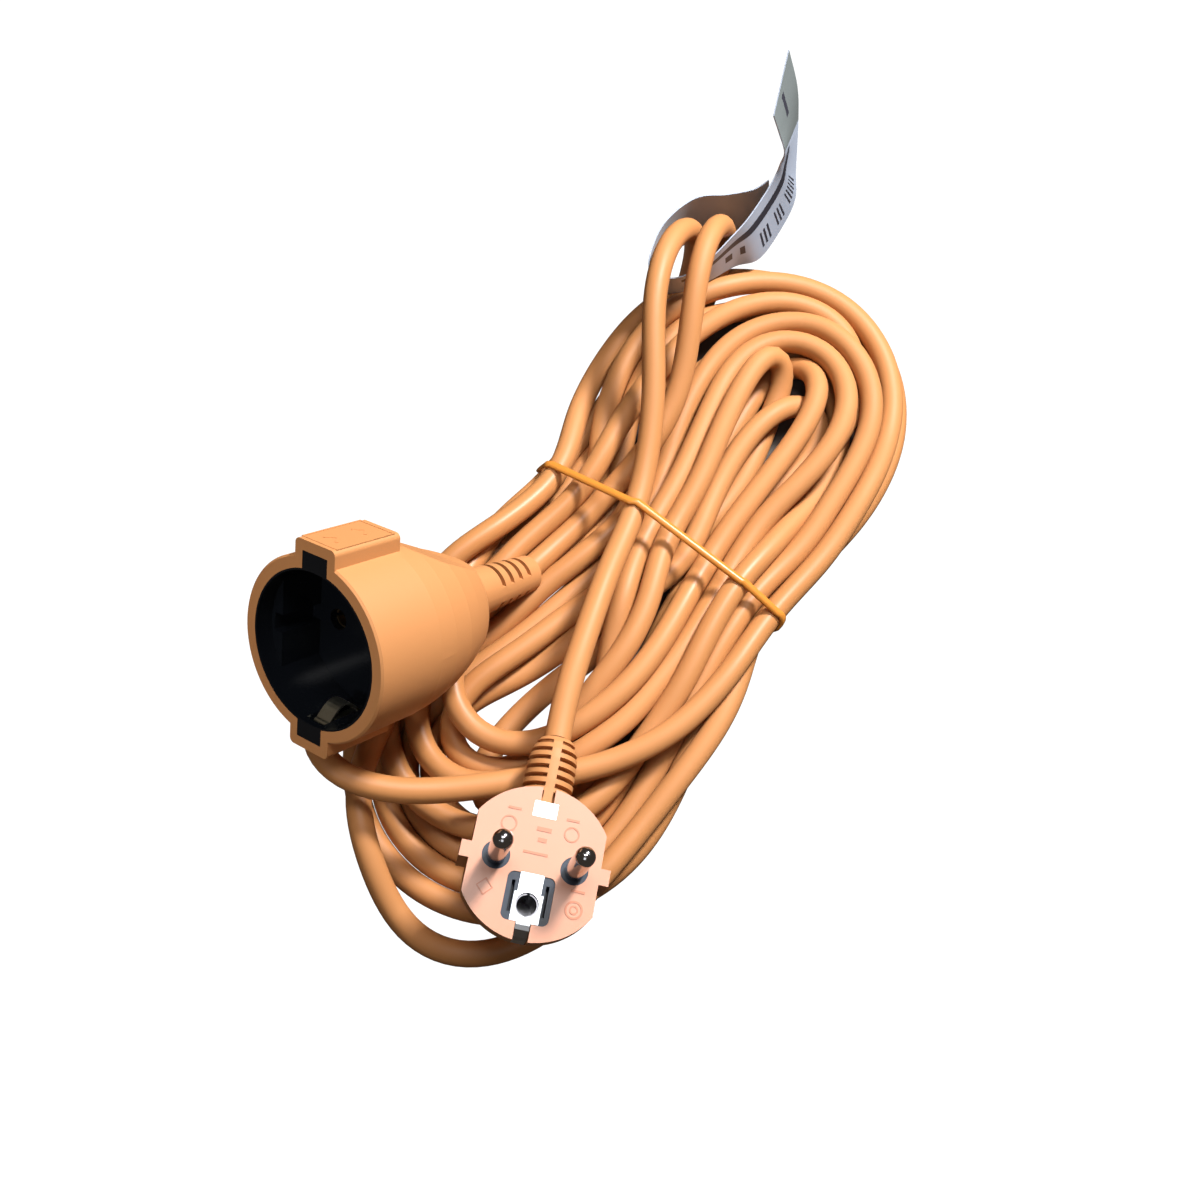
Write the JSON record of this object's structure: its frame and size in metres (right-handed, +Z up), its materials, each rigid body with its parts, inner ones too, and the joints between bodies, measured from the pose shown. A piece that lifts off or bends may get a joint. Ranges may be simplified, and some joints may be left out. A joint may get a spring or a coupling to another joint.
{
  "type": "extension cord",
  "caption": "Wound mains extension cord with an angled earthed plug at one end and a round trailing socket at the other, tied with a rubber band and a folded paper label.",
  "frame": {"origin": "on the surface the hank lies on, under the middle of the hank", "axes": "+Y along the hank towards the label, +Z up away from the surface, +X to the side the plug is on"},
  "size_m": [0.1119, 0.2698, 0.0827],
  "materials": {
    "orange_moulding": "satin moulded soft PVC",
    "orange_sheath": "satin extruded soft PVC",
    "black_insert": "semi-gloss black",
    "dark_carrier": "semi-gloss dark slate",
    "pin_nickel": "bright nickel plate",
    "earth_metal": "bright nickel-plated strip",
    "contact_brass": "plain brass",
    "core_brown": "extruded PVC",
    "core_blue": "extruded PVC",
    "core_green_yellow": "extruded PVC",
    "orange_band": "smooth rubber",
    "label_paper": "coated white paper with a printed stripe"
  },
  "bodies": {
    "cord": {"coupler_body": "orange_moulding", "coupler_insert": "black_insert", "coupler_rear_cover": "black_insert", "coupler_contact_left": "contact_brass", "coupler_contact_right": "contact_brass", "coupler_earth_bridge": "earth_metal", "coupler_strain_relief": "orange_moulding", "coupler_core_live": "core_brown", "coupler_core_neutral": "core_blue", "coupler_core_earth": "core_green_yellow", "plug_body": "orange_moulding", "plug_pin_carrier": "dark_carrier", "plug_crimp_cover": "black_insert", "plug_pin_left": "pin_nickel", "plug_pin_right": "pin_nickel", "plug_earth_strip": "earth_metal", "plug_earth_sleeve": "earth_metal", "plug_strain_relief": "orange_moulding", "plug_core_live": "core_brown", "plug_core_neutral": "core_blue", "plug_core_earth": "core_green_yellow", "cord_hank": "orange_sheath", "cord_plug_lead": "orange_sheath", "cord_coupler_lead": "orange_sheath", "cord_raised_turn": "orange_sheath", "cord_loose_turn": "orange_sheath", "rubber_band": "orange_band", "paper_label": "label_paper"},
    "spring_upper": {"coupler_earth_spring_upper": "earth_metal"},
    "spring_lower": {"coupler_earth_spring_lower": "earth_metal"}
  },
  "joints": [
    {"name": "earth_spring_upper_bend", "type": "hinge", "parent": "cord", "child": "spring_upper", "pos_m": [-0.04121, -0.05272, 0.06634], "axis": [-0.9275, -0.0996, -0.3604], "range_deg": [0, 4], "stiffness_Nm_per_rad": 0.5},
    {"name": "earth_spring_lower_bend", "type": "hinge", "parent": "cord", "child": "spring_lower", "pos_m": [-0.02643, -0.08066, 0.03602], "axis": [0.9275, 0.0996, 0.3604], "range_deg": [0, 4], "stiffness_Nm_per_rad": 0.5}
  ]
}
